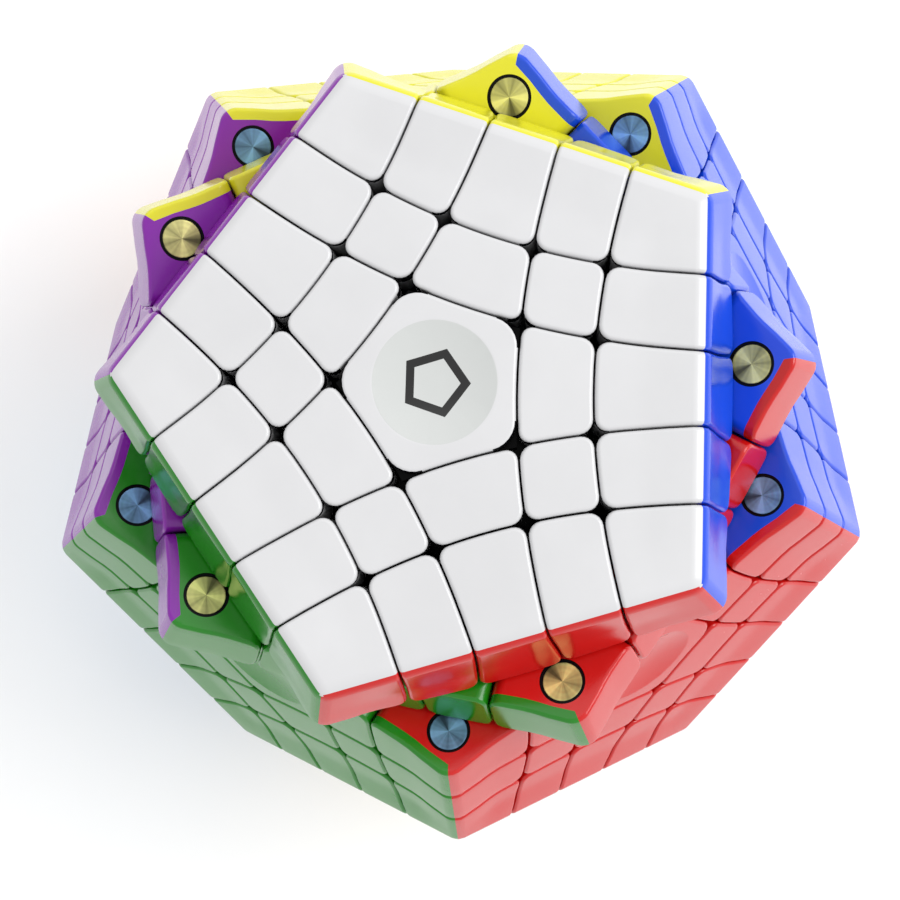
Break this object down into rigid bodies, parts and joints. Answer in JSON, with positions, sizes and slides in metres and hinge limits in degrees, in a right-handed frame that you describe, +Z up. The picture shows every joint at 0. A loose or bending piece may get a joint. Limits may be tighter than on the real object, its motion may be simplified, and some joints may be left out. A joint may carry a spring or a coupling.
{
  "type": "dodecahedron twisty puzzle",
  "caption": "Hand-held dodecahedron twisting puzzle with layered faces that turn about a central core, shown with two upper layers part turned.",
  "frame": {"origin": "centre of the grey face that the puzzle rests on", "axes": "+Z up through the centre of the white face; +X towards the edge between the yellow and purple faces"},
  "size_m": [0.128, 0.1218, 0.1036],
  "materials": {
    "white": "glossy moulded plastic",
    "yellow": "glossy moulded plastic",
    "blue": "glossy moulded plastic",
    "red": "glossy moulded plastic",
    "green": "glossy moulded plastic",
    "purple": "glossy moulded plastic",
    "cream": "glossy moulded plastic",
    "orange": "glossy moulded plastic",
    "black": "glossy moulded plastic",
    "gold": "brushed metal disc",
    "steel": "brushed metal disc",
    "grey": "glossy moulded plastic"
  },
  "bodies": {
    "middle": {"middle_body": "grey", "core_spider": "black", "steel_magnet_1": "steel", "steel_magnet_2": "steel", "steel_magnet_3": "steel", "steel_magnet_4": "steel", "steel_magnet_5": "steel"},
    "white_outer": {"white_center_cap": "white", "white_center_base": "black", "white_center_screw": "steel", "white_t_center_1": "white", "white_x_center_1": "white", "white_midge_1": "white", "white_wing_left_1": "white", "white_wing_right_1": "white", "white_corner_1": "white", "white_t_center_2": "white", "white_x_center_2": "white", "white_midge_2": "white", "white_wing_left_2": "white", "white_wing_right_2": "white", "white_corner_2": "white", "white_t_center_3": "white", "white_x_center_3": "white", "white_midge_3": "white", "white_wing_left_3": "white", "white_wing_right_3": "white", "white_corner_3": "white", "white_t_center_4": "white", "white_x_center_4": "white", "white_midge_4": "white", "white_wing_left_4": "white", "white_wing_right_4": "white", "white_corner_4": "white", "white_t_center_5": "white", "white_x_center_5": "white", "white_midge_5": "white", "white_wing_left_5": "white", "white_wing_right_5": "white", "white_corner_5": "white"},
    "white_inner": {"second_layer_disc": "black", "gold_magnet_1": "gold", "second_layer_yellow_wing": "yellow", "second_layer_yellow_strip": "yellow", "gold_magnet_2": "gold", "second_layer_blue_wing": "blue", "second_layer_blue_strip": "blue", "gold_magnet_3": "gold", "second_layer_red_wing": "red", "second_layer_red_strip": "red", "gold_magnet_4": "gold", "second_layer_green_wing": "green", "second_layer_green_strip": "green", "gold_magnet_5": "gold", "second_layer_purple_wing": "purple", "second_layer_purple_strip": "purple"},
    "cream_outer": {"cream_outer_layer": "cream"},
    "cream_inner": {"cream_inner_layer": "cream"},
    "orange_outer": {"orange_outer_layer": "orange"},
    "orange_inner": {"orange_inner_layer": "orange"}
  },
  "joints": [
    {"name": "white_outer_turn", "type": "hinge", "parent": "middle", "child": "white_outer", "pos_m": [0, 0, 0.05178], "axis": [0, 0, 1], "continuous": true},
    {"name": "white_inner_turn", "type": "hinge", "parent": "middle", "child": "white_inner", "pos_m": [0, 0, 0.05178], "axis": [0, 0, 1], "continuous": true},
    {"name": "cream_outer_turn", "type": "hinge", "parent": "middle", "child": "cream_outer", "pos_m": [0, 0, 0.05178], "axis": [-0.7236, 0.5257, -0.4472], "continuous": true},
    {"name": "cream_inner_turn", "type": "hinge", "parent": "middle", "child": "cream_inner", "pos_m": [0, 0, 0.05178], "axis": [-0.7236, 0.5257, -0.4472], "continuous": true},
    {"name": "orange_outer_turn", "type": "hinge", "parent": "middle", "child": "orange_outer", "pos_m": [0, 0, 0.05178], "axis": [0.8944, 0, -0.4472], "continuous": true},
    {"name": "orange_inner_turn", "type": "hinge", "parent": "middle", "child": "orange_inner", "pos_m": [0, 0, 0.05178], "axis": [0.8944, 0, -0.4472], "continuous": true}
  ]
}
